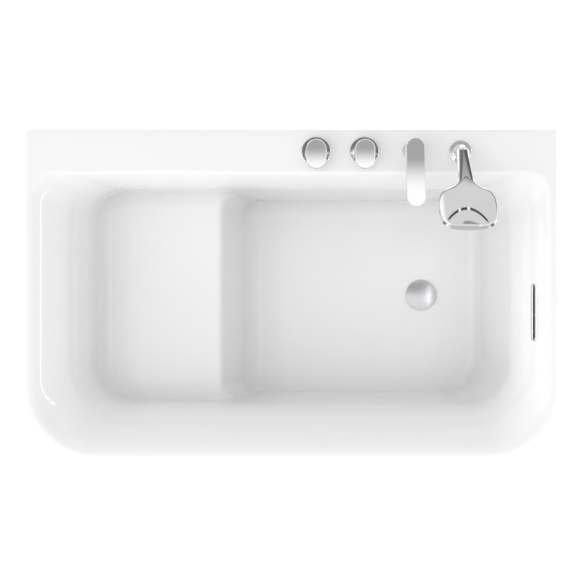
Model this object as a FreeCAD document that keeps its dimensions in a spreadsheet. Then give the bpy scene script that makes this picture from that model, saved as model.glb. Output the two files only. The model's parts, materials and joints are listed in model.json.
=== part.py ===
# Freestanding bathtub with a moulded seat, a rear tap deck and a four-hole tap set.
#
# Frame: millimetres, +Z up.  The origin is on the floor under the centre of the tub's
# outline.  +X runs to the drain end, +Y to the tap deck.

import FreeCAD, Part
import math
import os
import re
import Sketcher
from FreeCAD import Placement, Rotation, Vector

doc = FreeCAD.newDocument("Bathtub")
sheet = doc.addObject("Spreadsheet::Sheet", "Sizes")
aliases = []

SIZES = [
    # tub outline and rim
    ("tub_length", 1200), ("tub_width", 740), ("tub_height", 600),
    ("front_corner", 160), ("back_corner", 8),
    ("rim_width", 16), ("deck_width", 97), ("rim_thickness", 6), ("rim_edge", 2),
    # basin: wall, depths, how far each wall flares near the rim and leans in below it
    ("shell_wall", 7), ("basin_depth", 490), ("seat_depth", 250), ("flare_depth", 105),
    ("flare_left", 105), ("flare_right", 67), ("flare_front", 94), ("flare_back", 27.5),
    ("draft_left", 20), ("draft_right", 18.5), ("draft_front", 3), ("draft_back", 4.5),
    ("basin_back_corner", 58), ("front_corner_loss", 48), ("back_corner_gain", 14),
    ("seat_length", 299), ("riser_run", 60),
    ("riser_corner", 38), ("floor_corner", 36), ("seat_corner", 30), ("seat_edge", 14),
    ("riser_top", "= rim_width + flare_left + draft_left / 2 + seat_length - tub_length / 2"),
    ("basin_middle", "= (rim_width + flare_front + draft_front - deck_width - flare_back - draft_back) / 2"),
    # apron
    ("skirt_wall", 4), ("skirt_inset", 1), ("skirt_gap", 12),
    ("service_from", "= -tub_length / 4"), ("service_inset", 20),
    ("service_to", "= tub_length / 2 - service_inset"), ("service_height", 240),
    # boards
    ("board_thickness", 12), ("board_y", "= basin_middle"),
    ("floor_board_inset", 50), ("floor_board_end", 160), ("floor_board_margin", 350),
    ("floor_board_from", "= riser_top + riser_run + floor_board_inset"),
    ("floor_board_length", "= tub_length / 2 - floor_board_end - floor_board_from"),
    ("floor_board_x", "= floor_board_from + floor_board_length / 2"),
    ("floor_board_width", "= tub_width - floor_board_margin"),
    ("seat_board_inset", 35), ("seat_board_end", 175), ("seat_board_margin", 360),
    ("seat_board_length", "= riser_top - seat_board_inset + tub_length / 2 - seat_board_end"),
    ("seat_board_x", "= riser_top - seat_board_inset - seat_board_length / 2"),
    ("seat_board_width", "= tub_width - seat_board_margin"),
    # steel frame
    ("bar_size", 25), ("bar_wall", 2), ("rail_margin", 160), ("rail_length", "= tub_length - rail_margin"),
    ("rail_front_inset", 220), ("rail_front_y", "= rail_front_inset - tub_width / 2"),
    ("rail_back_inset", 235), ("rail_back_y", "= tub_width / 2 - rail_back_inset"),
    ("post_margin_x", 60), ("post_spacing_x", "= seat_board_length - post_margin_x"),
    ("post_margin_y", 155), ("post_spacing_y", "= seat_board_width - post_margin_y"),
    ("cross_inset", 30), ("cross_spacing", "= floor_board_length / 2 - cross_inset"),
    ("bracket_width", 30), ("bracket_sheet", 3), ("bracket_rise", 40), ("bracket_inset", 140),
    ("bracket_x", "= rail_length / 2 - bracket_inset"),
    # levelling feet
    ("foot_margin", 80), ("foot_spacing", "= rail_length - foot_margin"),
    ("foot_radius", 25), ("foot_height", 10), ("foot_hex", 12), ("stud_radius", 6), ("stud_above", 13),
    ("foot_nut_height", 8), ("running_gap", 0.05), ("clear_gap", 0.3),
    # drain
    ("drain_inset", 255.5), ("drain_x", "= tub_length / 2 - drain_inset"), ("drain_y", -5.5),
    ("plug_radius", 40), ("plug_dome", 6), ("flange_radius", 41), ("flange_height", 2.5),
    ("flange_bore", 25), ("shank_radius", 29), ("shank_length", 32), ("drain_cup_radius", 34),
    ("cup_wall", 3), ("gasket_thickness", 3), ("gasket_radius", 40), ("stem_radius", 5),
    ("plug_rise", 0.6),
    # waste and overflow pipes
    ("waste_radius", 20), ("waste_wall", 2.5), ("socket_length", 26), ("socket_wall", 3),
    ("socket_fit", 0.5), ("pipe_clearance", 1), ("cup_sump", 2),
    ("frame_top", "= tub_height - basin_depth - shell_wall - board_thickness"),
    ("waste_axis_z", "= frame_top - bar_size - pipe_clearance - socket_wall - waste_radius"),
    ("drain_cup_base", "= waste_axis_z - waste_radius - socket_wall - cup_sump"),
    ("tee_inset", 44), ("tee_x", "= tub_length / 2 - tee_inset"),
    ("outlet_inset", 30), ("outlet_end_y", "= tub_width / 2 - outlet_inset"),
    ("overflow_pipe_radius", 14), ("overflow_pipe_wall", 2), ("overflow_y", -43),
    ("overflow_drop", 25), ("overflow_length", 130), ("overflow_width", 15.5),
    ("overflow_slot", 5), ("overflow_trim", 2.5), ("overflow_box_drop", 95),
    ("overflow_box_base", "= tub_height - overflow_box_drop"),
    # taps on the deck
    ("tap_inset", 544), ("tap_first_x", "= tub_length / 2 - tap_inset"), ("tap_pitch", 108.6),
    ("tap_back", 51), ("tap_y", "= tub_width / 2 - tap_back"), ("tap_hole", 17),
    ("shank_clearance", 1), ("deck_nut_radius", 26), ("deck_nut_height", 9),
    ("deck_board_margin", 31), ("deck_board_width", "= deck_width - deck_board_margin"),
    ("deck_board_length", "= 3 * tap_pitch + 4 * deck_nut_radius"),
    ("deck_board_x", "= tap_first_x + 1.5 * tap_pitch"),
    ("knob_radius", 34), ("knob_base_height", 11), ("knob_hub_radius", 29),
    ("knob_hub_height", 9), ("knob_width", 45), ("knob_length", 67), ("knob_height", 36),
    ("knob_offset", 8.8), ("spindle_radius", 5), ("valve_radius", 23), ("valve_height", 62),
    ("inlet_radius", 10.5), ("inlet_length", 22), ("inlet_spacing", 24), ("link_radius", 6),
    ("link_wall", 1), ("link_sink", 1),
    # spout
    ("spout_column", 18), ("spout_back", 24), ("spout_base_radius", 23), ("spout_base_height", 5),
    ("spout_length", 155), ("spout_width", 42), ("spout_top", 75), ("spout_lift", 23),
    ("spout_root", 22), ("spout_tip", 14), ("spout_bore", 9), ("aerator_radius", 12),
    ("aerator_height", 4), ("spout_shank_radius", 13), ("shank_drop", 82),
    # hand shower and its holder
    ("holder_radius", 26), ("holder_height", 6), ("holder_post", 12), ("holder_bore", 8),
    ("shower_lean", 56), ("shower_back", 5), ("shower_y", "= tap_y - shower_back"),
    ("shower_z", 36), ("socket_depth", 13), ("socket_radius", 14.5), ("cone_radius", 5),
    ("cone_wall", 2.5), ("collar_radius", 11), ("handle_top", 16), ("handle_length", 84),
    ("head_start", 80), ("head_length", 129), ("head_width", 128), ("head_thickness", 16),
    ("head_corner", 34), ("spray_inset", 9), ("spray_thickness", 3),
]
for row, (name, size) in enumerate(SIZES, 1):
    sheet.set("A%d" % row, name)
    sheet.set("B%d" % row, str(size))
    sheet.setAlias("B%d" % row, name)
    aliases.append(name)
doc.recompute()


def in_sheet(formula):
    """The formula with each size written as a cell of the sheet."""
    return re.sub(r"[a-z_]+", lambda word: "Sizes." + word.group() if word.group() in aliases
                  else word.group(), str(formula))


def size(formula):
    """The value, in millimetres or degrees, of a formula of sheet sizes."""
    return float(sheet.evalExpression(in_sheet(formula)))


def bind(thing, prop, formula):
    thing.setExpression(prop, in_sheet(formula))


# Levels and places that several pieces share, as formulas of the sheet.
RIM_UNDER = "(tub_height - rim_thickness)"
FLOOR = "(tub_height - basin_depth)"
FLOOR_UNDER = "(tub_height - basin_depth - shell_wall)"
SEAT_UNDER = "(tub_height - seat_depth - shell_wall)"
CROSS_TOP = "frame_top"
RAIL_TOP = "(frame_top - bar_size)"
RAIL_BASE = "(frame_top - 2 * bar_size)"
STUD_TOP = "(frame_top - 2 * bar_size + stud_above)"
DECK_BOARD_UNDER = "(tub_height - rim_thickness - board_thickness)"
NUT_UNDER = "(tub_height - rim_thickness - board_thickness - deck_nut_height)"
MIXER_X = "tap_first_x"
DIVERTER_X = "(tap_first_x + tap_pitch)"
SPOUT_X = "(tap_first_x + 2 * tap_pitch)"
SHOWER_X = "(tap_first_x + 3 * tap_pitch)"
TAP_X = [MIXER_X, DIVERTER_X, SPOUT_X, SHOWER_X]


# ---------------------------------------------------------------- body and sketch helpers

def new_body(label, at=("0", "0", "0"), lean=None):
    """An empty body whose own origin sits at a place bound to the sheet."""
    body = doc.addObject("PartDesign::Body", label)
    body.Label = label
    if lean is not None:
        body.Placement = Placement(Vector(), Rotation(Vector(1, 0, 0), size(lean)))
        bind(body, "Placement.Rotation.Angle", lean)
    for letter, formula in zip("xyz", at):
        bind(body, "Placement.Base." + letter, formula)
    return body


def sketch_on(body, plane, name, lift="0"):
    """A sketch on one of the body's own origin planes, lifted along that plane's normal."""
    sketch = body.newObject("Sketcher::SketchObject", body.Name + "_" + name)
    origin_plane = [f for f in body.Origin.OriginFeatures if f.Role == plane][0]
    sketch.AttachmentSupport = [(origin_plane, "")]
    sketch.MapMode = "FlatFace"
    bind(sketch, "AttachmentOffset.Base.z", lift)
    return sketch


def polygon(sketch, corners):
    """A closed outline of straight lines with every corner held by two sheet formulas."""
    points = [Vector(size(x), size(y), 0) for x, y in corners]
    first = sketch.GeometryCount
    count = len(corners)
    for i in range(count):
        sketch.addGeometry(Part.LineSegment(points[i], points[(i + 1) % count]), False)
    for i in range(count):
        following = first + (i + 1) % count
        sketch.addConstraint(Sketcher.Constraint("Coincident", first + i, 2, following, 1))
    for i, (x, y) in enumerate(corners):
        for kind, formula, amount in (("DistanceX", x, points[i].x), ("DistanceY", y, points[i].y)):
            constraint = Sketcher.Constraint(kind, -1, 1, first + i, 1, amount)
            index = sketch.addConstraint(constraint)
            bind(sketch, "Constraints[%d]" % index, formula)


def rectangle(sketch, x0, x1, y0, y1):
    polygon(sketch, [(x0, y0), (x1, y0), (x1, y1), (x0, y1)])


def circle(sketch, radius, x="0", y="0"):
    centre = Vector(size(x), size(y), 0)
    ring = sketch.addGeometry(Part.Circle(centre, Vector(0, 0, 1), size(radius)), False)
    for kind, formula, amount in (("DistanceX", x, centre.x), ("DistanceY", y, centre.y)):
        index = sketch.addConstraint(Sketcher.Constraint(kind, -1, 1, ring, 3, amount))
        bind(sketch, "Constraints[%d]" % index, formula)
    index = sketch.addConstraint(Sketcher.Constraint("Radius", ring, size(radius)))
    bind(sketch, "Constraints[%d]" % index, radius)


def pad(body, sketch, length, back=False, middle=False):
    feature = body.newObject("PartDesign::Pad", sketch.Name + "_pad")
    feature.Profile = sketch
    bind(feature, "Length", length)
    feature.Reversed = back
    feature.Midplane = middle
    sketch.Visibility = False
    return feature


def pocket(body, sketch, length, back=False, middle=False):
    """Cut the sketch out of the body, and stop if nothing was cut."""
    doc.recompute()
    before = body.Shape.Volume
    feature = body.newObject("PartDesign::Pocket", sketch.Name + "_pocket")
    feature.Profile = sketch
    bind(feature, "Length", length)
    feature.Reversed = back
    feature.Midplane = middle
    doc.recompute()
    if not body.Shape.Volume < before - 1e-3:
        raise ValueError(body.Label + ": a pocket cuts nothing")
    return feature


def revolve(body, sketch):
    feature = body.newObject("PartDesign::Revolution", sketch.Name + "_turn")
    feature.Profile = sketch
    feature.ReferenceAxis = (sketch, ["V_Axis"])
    feature.Angle = 360
    return feature


def turned(label, profile, at=("0", "0", "0"), lean=None):
    """A turned piece: its half section, as (radius, height) corners, revolved about Z."""
    body = new_body(label, at, lean)
    sketch = sketch_on(body, "XZ_Plane", "section")
    polygon(sketch, profile)
    revolve(body, sketch)
    return body


def ring(label, inner, outer, base, top, at=("0", "0", "0"), lean=None):
    return turned(label, [(inner, base), (outer, base), (outer, top), (inner, top)], at, lean)


def rod(label, radius, base, top, at=("0", "0", "0"), lean=None):
    return turned(label, [("0", base), (radius, base), (radius, top), ("0", top)], at, lean)


def board(label, x, y, length, width, base, holes=()):
    """A flat board centred on (x, y), with round holes given as (x, y, radius) in the tub."""
    body = new_body(label, (x, y, base))
    sketch = sketch_on(body, "XY_Plane", "outline")
    rectangle(sketch, "-%s / 2" % length, "%s / 2" % length, "-%s / 2" % width, "%s / 2" % width)
    for hole_x, hole_y, radius in holes:
        circle(sketch, radius, "%s - %s" % (hole_x, x), "%s - (%s)" % (hole_y, y))
    pad(body, sketch, "board_thickness")
    return body


def square_tube(label, plane, length, at):
    """A square steel tube about its own middle; plane is the one that it is square to."""
    body = new_body(label, at)
    sketch = sketch_on(body, plane, "section")
    half = "bar_size / 2"
    rectangle(sketch, "-" + half, half, "-" + half, half)
    inner = "(bar_size / 2 - bar_wall)"
    rectangle(sketch, "-" + inner, inner, "-" + inner, inner)
    pad(body, sketch, length, middle=True)
    return body


# ---------------------------------------------------------------- basin and apron surfaces

def rounded_outline(left, right, front, back, corners, level):
    """A closed wire: a rectangle with four corner arcs, given front-left and round."""
    front_left, front_right, back_right, back_left = corners

    def line(x0, y0, x1, y1):
        return Part.LineSegment(Vector(x0, y0, level), Vector(x1, y1, level)).toShape()

    def arc(x, y, radius, start):
        ends = [Vector(x + radius * math.cos(math.radians(a)),
                       y + radius * math.sin(math.radians(a)), level)
                for a in (start, start + 45, start + 90)]
        return Part.Arc(*ends).toShape()

    return Part.Wire([
        line(left + front_left, front, right - front_right, front),
        arc(right - front_right, front + front_right, front_right, -90),
        line(right, front + front_right, right, back - back_right),
        arc(right - back_right, back - back_right, back_right, 0),
        line(right - back_right, back, left + back_left, back),
        arc(left + back_left, back - back_left, back_left, 90),
        line(left, back - back_left, left, front + front_left),
        arc(left + front_left, front + front_left, front_left, 180),
    ])


def tub_outline(inset, level):
    """The tub's outer outline, moved in by inset, at a level."""
    half_length = size("tub_length / 2") - inset
    half_width = size("tub_width / 2") - inset
    front = size("front_corner") - inset
    back = size("back_corner") - inset
    corners = (front, front, back, back)
    return rounded_outline(-half_length, half_length, -half_width, half_width, corners, level)


def flare(depth):
    """Share of a wall's flare that is used up at a depth: a parabola down to flare_depth."""
    left_over = max(0.0, 1 - depth / size("flare_depth"))
    return 1 - left_over ** 2


def wall_in(side, depth):
    """How far a wall has come in from the rim's inner edge at a depth."""
    leaning = size("draft_" + side) * depth / size("basin_depth")
    return size("flare_" + side) * flare(depth) + leaning


def basin_outline(depth, grow, level):
    """The basin's outline at a depth, moved outwards by grow."""
    half_length = size("tub_length / 2 - rim_width")
    front_edge = size("rim_width - tub_width / 2")
    back_edge = size("tub_width / 2 - deck_width")
    front_radius = size("front_corner - rim_width") - size("front_corner_loss") * flare(depth)
    back_radius = size("basin_back_corner") + size("back_corner_gain") * flare(depth)
    corners = (front_radius + grow, front_radius + grow, back_radius + grow, back_radius + grow)
    return rounded_outline(-half_length + wall_in("left", depth) - grow,
                           half_length - wall_in("right", depth) + grow,
                           front_edge + wall_in("front", depth) - grow,
                           back_edge - wall_in("back", depth) + grow, corners, level)


def basin_solid(grow):
    """The space inside the basin, or with grow its outer surface, as one closed solid."""
    depth_to_flare = size("flare_depth")
    depth_to_seat = size("seat_depth")
    depth_to_floor = size("basin_depth")
    rim = size("tub_height")
    floor_level = rim - depth_to_floor - grow
    steps = 5
    flared = []
    for i in range(steps + 1):
        depth = depth_to_flare * i / steps
        flared.append(basin_outline(depth, grow, rim - depth))
    straight = [flared[-1], basin_outline(depth_to_floor, grow, floor_level)]
    solid = Part.makeLoft(flared, True, False, False, 3)
    solid = solid.fuse(Part.makeLoft(straight, True, True)).removeSplitter()
    # the seat: a block with a leaning front, taken out of that space
    seat_level = rim - depth_to_seat - grow
    riser_top = size("riser_top")
    lean = size("riser_run / (basin_depth - seat_depth)")
    far = size("tub_length")
    low = floor_level - size("bar_size")
    drop_to_low = rim - depth_to_seat - low
    riser_top_here = riser_top - grow + lean * grow
    foot = riser_top - grow + lean * drop_to_low
    section = [Vector(-far, -far, seat_level), Vector(riser_top_here, -far, seat_level),
               Vector(foot, -far, low), Vector(-far, -far, low)]
    block = Part.Face(Part.makePolygon(section + section[:1])).extrude(Vector(0, 2 * far, 0))
    solid = solid.cut(block)

    def level_edges(level):
        return [e for e in solid.Edges
                if abs(e.BoundBox.ZMin - level) < 0.05 and abs(e.BoundBox.ZMax - level) < 0.05]

    risers = [e for e in solid.Edges
              if abs(e.BoundBox.ZMin - floor_level) < 0.5 and abs(e.BoundBox.ZMax - seat_level) < 0.5
              and e.BoundBox.XMax < foot and e.BoundBox.XMin > riser_top - 2 * size("shell_wall")]
    solid = solid.makeFillet(size("riser_corner") + grow, risers)
    solid = solid.makeFillet(size("floor_corner") + grow, level_edges(floor_level))

    def straight_lip(edge):
        return edge.BoundBox.XLength < 0.1 and edge.BoundBox.XMin > riser_top - 2 * size("shell_wall")

    lip = [e for e in level_edges(seat_level) if straight_lip(e)]
    solid = solid.makeFillet(size("seat_edge") - grow, lip)
    walls = [e for e in level_edges(seat_level) if e.BoundBox.XMin < riser_top - size("seat_corner")]
    return solid.makeFillet(size("seat_corner") + grow, walls)


def prism(wire, height):
    return Part.Face(wire).extrude(Vector(0, 0, height))


def piece(label, shape):
    """A sub-part whose shape is computed: lofted and cut surfaces that no sketch feature makes."""
    feature = doc.addObject("Part::Feature", label)
    feature.Label = label
    feature.Shape = shape
    feature.Placement = Placement()
    return feature


def upright(radius, x, y, base, top):
    """A plain cylinder standing at (x, y) between two levels."""
    return Part.makeCylinder(size(radius), size(top) - size(base), Vector(size(x), size(y), size(base)))


def stadium_pad(body, name, width, length, middle_y, base, height):
    """A round-ended bar lying along Y: a straight pad and a round pad at each end."""
    half = "(%s) / 2" % width
    reach = "(%s - %s) / 2" % (length, width)
    straight = sketch_on(body, "XY_Plane", name + "_straight", base)
    rectangle(straight, "-" + half, half, "%s - %s" % (middle_y, reach), "%s + %s" % (middle_y, reach))
    pad(body, straight, height)
    for end, sign in (("front", "-"), ("rear", "+")):
        round_end = sketch_on(body, "XY_Plane", name + "_" + end, base)
        circle(round_end, half, "0", "%s %s %s" % (middle_y, sign, reach))
        pad(body, round_end, height)


def hexagon_nut(across_flats, bore, x, y, base, height):
    corner = across_flats / math.sqrt(3)
    points = [Vector(x + corner * math.cos(math.radians(60 * i)),
                     y + corner * math.sin(math.radians(60 * i)), base) for i in range(7)]
    nut = Part.Face(Part.makePolygon(points)).extrude(Vector(0, 0, height))
    return nut.cut(Part.makeCylinder(bore, height, Vector(x, y, base)))


# ---------------------------------------------------------------- basin and apron

def stadium_prism(length, width, base, top):
    """A round-ended prism along Y about the local Z axis."""
    reach = (length - width) / 2
    half = width / 2
    outline = Part.Wire([
        Part.LineSegment(Vector(half, -reach, base), Vector(half, reach, base)).toShape(),
        Part.Arc(Vector(half, reach, base), Vector(0, reach + half, base), Vector(-half, reach, base)).toShape(),
        Part.LineSegment(Vector(-half, reach, base), Vector(-half, -reach, base)).toShape(),
        Part.Arc(Vector(-half, -reach, base), Vector(0, -reach - half, base), Vector(half, -reach, base)).toShape(),
    ])
    return prism(outline, top - base)


def overflow_place():
    """The overflow's place on the drain-end wall, its local Z square to the leaning wall."""
    drop = size("overflow_drop")
    x = size("tub_length / 2 - rim_width") - wall_in("right", drop)
    run = (wall_in("right", drop + 1) - wall_in("right", drop - 1)) / 2
    lean = math.atan(run)
    normal = Vector(-math.cos(lean), 0, math.sin(lean))
    return Placement(Vector(x, size("overflow_y"), size("tub_height") - drop),
                     Rotation(Vector(0, 0, 1), normal))


def build_basin_and_overflow():
    """The acrylic shell with its rim and tap deck, the overflow trim and the box behind it."""
    air = basin_solid(0)
    hull = basin_solid(size("shell_wall"))
    rim = prism(tub_outline(0, size(RIM_UNDER)), size("rim_thickness"))
    top = size("tub_height")
    outer_top = [e for e in rim.Edges if e.BoundBox.ZMin > top - 0.01]
    rim = rim.makeFillet(size("rim_edge"), outer_top)
    basin = rim.fuse(hull).cut(air)
    for x in TAP_X:
        basin = basin.cut(upright("tap_hole", x, "tap_y", DECK_BOARD_UNDER, "tub_height"))
    basin = basin.cut(upright("shank_radius + clear_gap", "drain_x", "drain_y", FLOOR_UNDER, FLOOR))
    wall = size("shell_wall")
    slot = size("overflow_slot")
    sleeve_wall = size("overflow_trim")
    sleeve_length = size("overflow_length") - 4 * sleeve_wall
    sleeve = stadium_prism(sleeve_length, slot + 2 * sleeve_wall, -2 * wall, 0)
    plate = stadium_prism(size("overflow_length"), size("overflow_width"), -wall, sleeve_wall)
    water_way = stadium_prism(sleeve_length - 2 * sleeve_wall, slot, -3 * wall, 3 * wall)
    place = overflow_place()
    for shape in (sleeve, plate, water_way):
        shape.Placement = place
    basin = basin.cut(sleeve)
    trim = plate.common(air).fuse(sleeve.common(hull.cut(air))).cut(water_way).removeSplitter()
    piece("basin", basin.removeSplitter())
    piece("overflow_trim", trim)

    pipe = size("overflow_pipe_radius")
    cover = size("socket_wall")
    reach = size("socket_length")
    box_x = size("tee_x") - pipe - 2 * cover
    box_width = size("tub_length / 2 - skirt_inset - skirt_wall") - cover - box_x
    box_y = size("overflow_y - overflow_length / 2")
    base = size("overflow_box_base")
    box_top = size(RIM_UNDER) - cover
    corner = Vector(box_x, box_y, base)
    box = Part.makeBox(box_width, size("overflow_length"), box_top - base, corner)
    room = Part.makeBox(box_width - 2 * cover, size("overflow_length") - 2 * cover,
                        box_top - base - 2 * cover, corner + Vector(cover, cover, cover))
    spigot = upright("overflow_pipe_radius + socket_wall", "tee_x", "drain_y",
                     "overflow_box_base - socket_length", "overflow_box_base")
    socket = upright("overflow_pipe_radius", "tee_x", "drain_y",
                     "overflow_box_base - socket_length", "overflow_box_base")
    hole = Part.makeCylinder(pipe - size("overflow_pipe_wall"), reach + cover,
                             Vector(size("tee_x"), size("drain_y"), base - reach))
    box = box.fuse(spigot).cut(hull).cut(room).cut(socket).cut(hole)
    piece("overflow_box", box.removeSplitter())


def build_skirt():
    """The apron: one thin wall all round, with a service opening low down at the rear."""
    base = size("skirt_gap")
    height = size(RIM_UNDER) - base
    outer = prism(tub_outline(size("skirt_inset"), base), height)
    inner = prism(tub_outline(size("skirt_inset + skirt_wall"), base), height)
    door = Part.makeBox(size("service_to - service_from"), size("tub_width / 4"),
                        size("service_height") - base,
                        Vector(size("service_from"), size("tub_width * 3 / 8"), base))
    piece("skirt", outer.cut(inner).cut(door))


build_basin_and_overflow()
build_skirt()


# ---------------------------------------------------------------- boards, frame and feet

board("floor_board", "floor_board_x", "board_y", "floor_board_length", "floor_board_width",
      CROSS_TOP, [("drain_x", "drain_y", "gasket_radius + gasket_thickness")])
board("seat_board", "seat_board_x", "board_y", "seat_board_length", "seat_board_width",
      "%s - board_thickness" % SEAT_UNDER)
board("deck_board", "deck_board_x", "tap_y", "deck_board_length", "deck_board_width",
      DECK_BOARD_UNDER, [(x, "tap_y", "tap_hole") for x in TAP_X])

for side in ("front", "back"):
    rail = square_tube("rail_" + side, "YZ_Plane", "rail_length",
                       ("0", "rail_%s_y" % side, "%s + bar_size / 2" % RAIL_BASE))
    holes = sketch_on(rail, "XY_Plane", "stud_holes", "-bar_size / 2")
    for sign in ("-", ""):
        circle(holes, "stud_radius + clear_gap", sign + "foot_spacing / 2", "0")
    pocket(rail, holes, "bar_wall", back=True)

CROSS_X = ["seat_board_x - post_spacing_x / 2", "seat_board_x + post_spacing_x / 2",
           "floor_board_x - cross_spacing", "floor_board_x", "floor_board_x + cross_spacing"]
for number, x in enumerate(CROSS_X, 1):
    square_tube("cross_%d" % number, "XZ_Plane", "rail_back_y - rail_front_y + bar_size",
                (x, "(rail_back_y + rail_front_y) / 2", "%s + bar_size / 2" % RAIL_TOP))

number = 0
for x in CROSS_X[:2]:
    for sign in ("-", "+"):
        number += 1
        square_tube("seat_post_%d" % number, "XY_Plane",
                    "%s - board_thickness - %s" % (SEAT_UNDER, CROSS_TOP),
                    (x, "board_y %s post_spacing_y / 2" % sign,
                     "(%s - board_thickness + %s) / 2" % (SEAT_UNDER, CROSS_TOP)))

SKIRT_REACH = "(tub_width / 2 - skirt_inset - skirt_wall + rail_front_y)"
for side, sign in (("left", "-"), ("right", "")):
    bracket = new_body("skirt_bracket_" + side, (sign + "bracket_x", "rail_front_y", RAIL_BASE))
    bend = sketch_on(bracket, "YZ_Plane", "bend")
    polygon(bend, [("bar_size / 2", "-bracket_sheet"), ("-" + SKIRT_REACH, "-bracket_sheet"),
                   ("-" + SKIRT_REACH, "bracket_rise"),
                   ("bracket_sheet - " + SKIRT_REACH, "bracket_rise"),
                   ("bracket_sheet - " + SKIRT_REACH, "0"), ("bar_size / 2", "0")])
    pad(bracket, bend, "bracket_width", middle=True)

FEET = [("front_left", "-", "front"), ("front_right", "", "front"),
        ("back_left", "-", "back"), ("back_right", "", "back")]
foot_nuts = []
for corner, sign, side in FEET:
    at = (sign + "foot_spacing / 2", "rail_%s_y" % side, "0")
    turned("foot_pad_" + corner, [("0", "0"), ("foot_radius", "0"), ("foot_radius", "foot_height / 2"),
                                  ("foot_radius * 3 / 4", "foot_height"), ("0", "foot_height")], at)
    turned("foot_stud_" + corner, [
        ("0", "foot_height"), ("foot_radius / 2", "foot_height"),
        ("foot_radius / 2", "foot_height + foot_hex"), ("stud_radius", "foot_height + foot_hex"),
        ("stud_radius", STUD_TOP), ("0", STUD_TOP)], at)
    foot_nuts.append(hexagon_nut(size("3 * stud_radius"), size("stud_radius + running_gap"),
                                 size(at[0]), size(at[1]),
                                 size(RAIL_BASE) - size("foot_nut_height"), size("foot_nut_height")))
piece("foot_nuts", Part.makeCompound(foot_nuts))


# ---------------------------------------------------------------- drain and waste

DRAIN = ("drain_x", "drain_y", FLOOR)
PLUG = ("drain_x", "drain_y", "%s + flange_height + plug_rise" % FLOOR)
CUP_BASE = "(drain_cup_base - %s)" % FLOOR
WASTE_Z = "(waste_axis_z - %s)" % FLOOR
GASKET_BASE = "(0 - shell_wall - gasket_thickness)"

turned("drain_flange", [("flange_bore", "-shank_length"), ("shank_radius", "-shank_length"),
                        ("shank_radius", "0"), ("flange_radius", "0"),
                        ("flange_radius", "flange_height / 2"),
                        ("flange_radius - flange_height", "flange_height"),
                        ("flange_bore", "flange_height")], DRAIN)
ring("drain_gasket", "shank_radius", "gasket_radius", GASKET_BASE, "-shell_wall", DRAIN)

drain_body = turned("drain_body", [
    ("0", CUP_BASE), ("drain_cup_radius", CUP_BASE),
    ("drain_cup_radius", "%s - 2 * cup_wall" % GASKET_BASE),
    ("gasket_radius", "%s - 2 * cup_wall" % GASKET_BASE), ("gasket_radius", GASKET_BASE),
    ("shank_radius", GASKET_BASE), ("shank_radius", "-shank_length"),
    ("drain_cup_radius - cup_wall", "-shank_length"),
    ("drain_cup_radius - cup_wall", "%s + cup_wall" % CUP_BASE), ("0", "%s + cup_wall" % CUP_BASE)],
    DRAIN)
arm = sketch_on(drain_body, "YZ_Plane", "outlet", "drain_cup_radius - 2 * cup_wall")
circle(arm, "waste_radius + socket_wall", "0", WASTE_Z)
pad(drain_body, arm, "socket_length + 2 * cup_wall")
way = sketch_on(drain_body, "YZ_Plane", "water_way", "drain_cup_radius - 3 * cup_wall")
circle(way, "waste_radius - waste_wall", "0", WASTE_Z)
pocket(drain_body, way, "socket_length + 3 * cup_wall", back=True)
seat = sketch_on(drain_body, "YZ_Plane", "pipe_seat", "drain_cup_radius + 2 * cup_wall")
circle(seat, "waste_radius", "0", WASTE_Z)
pocket(drain_body, seat, "socket_length", back=True)

cartridge = ring("drain_cartridge", "stem_radius + running_gap", "flange_bore", "4 - shank_length",
                 "18 - shank_length", DRAIN)
slots = sketch_on(cartridge, "XY_Plane", "water_holes", "4 - shank_length")
for x, y in (("1", "0"), ("0", "1"), ("-1", "0"), ("0", "-1")):
    circle(slots, "flange_bore / 4", x + " * flange_bore * 0.62", y + " * flange_bore * 0.62")
pocket(cartridge, slots, "14", back=True)


def build_plug_cap():
    """The domed plug cap: a flat disc whose top is part of one large sphere."""
    radius = size("plug_radius")
    rise = size("plug_dome") * 3 / 4
    sphere_radius = (radius ** 2 + rise ** 2) / (2 * rise)
    disc = Part.makeCylinder(radius, size("plug_dome"))
    dome = Part.makeSphere(sphere_radius, Vector(0, 0, size("plug_dome") - sphere_radius))
    cap = piece("plug_cap", disc.common(dome))
    cap.Placement = Placement(Vector(*[size(place) for place in PLUG]), Rotation())


build_plug_cap()
ring("plug_seal", "stem_radius", "flange_bore - clear_gap", "-gasket_thickness", "0", PLUG)
rod("plug_stem", "stem_radius", "-1.4 * shank_length", "0", PLUG)

waste_pipe = new_body("waste_pipe", ("drain_x + drain_cup_radius + 2 * cup_wall", "drain_y",
                                     "waste_axis_z"))
section = sketch_on(waste_pipe, "YZ_Plane", "section")
circle(section, "waste_radius")
circle(section, "waste_radius - waste_wall")
pad(waste_pipe, section, "tee_x - waste_radius - socket_wall - drain_x - drain_cup_radius - 2 * cup_wall")

TEE = ("tee_x", "drain_y", "waste_axis_z")
tee = new_body("waste_tee", TEE)
TEE_ARMS = [("YZ_Plane", "waste", True), ("XZ_Plane", "waste", True), ("XY_Plane", "overflow_pipe", False)]
for plane, pipe, back in TEE_ARMS:
    arm = sketch_on(tee, plane, "arm")
    circle(arm, pipe + "_radius + socket_wall")
    pad(tee, arm, "waste_radius + socket_wall + socket_length", back=back)
hub = sketch_on(tee, "XY_Plane", "hub", "-waste_radius - socket_wall")
circle(hub, "waste_radius + socket_wall")
pad(tee, hub, "2 * (waste_radius + socket_wall)")
for plane, pipe, back in TEE_ARMS:
    bore = sketch_on(tee, plane, "bore")
    circle(bore, "%s_radius - %s_wall" % (pipe, pipe))
    pocket(tee, bore, "2 * socket_length + waste_radius", back=not back)
    lift = "waste_radius + socket_wall"
    seat = sketch_on(tee, plane, "seat", "-(%s)" % lift if back else lift)
    circle(seat, pipe + "_radius")
    pocket(tee, seat, "socket_length + waste_radius", back=not back)

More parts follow.
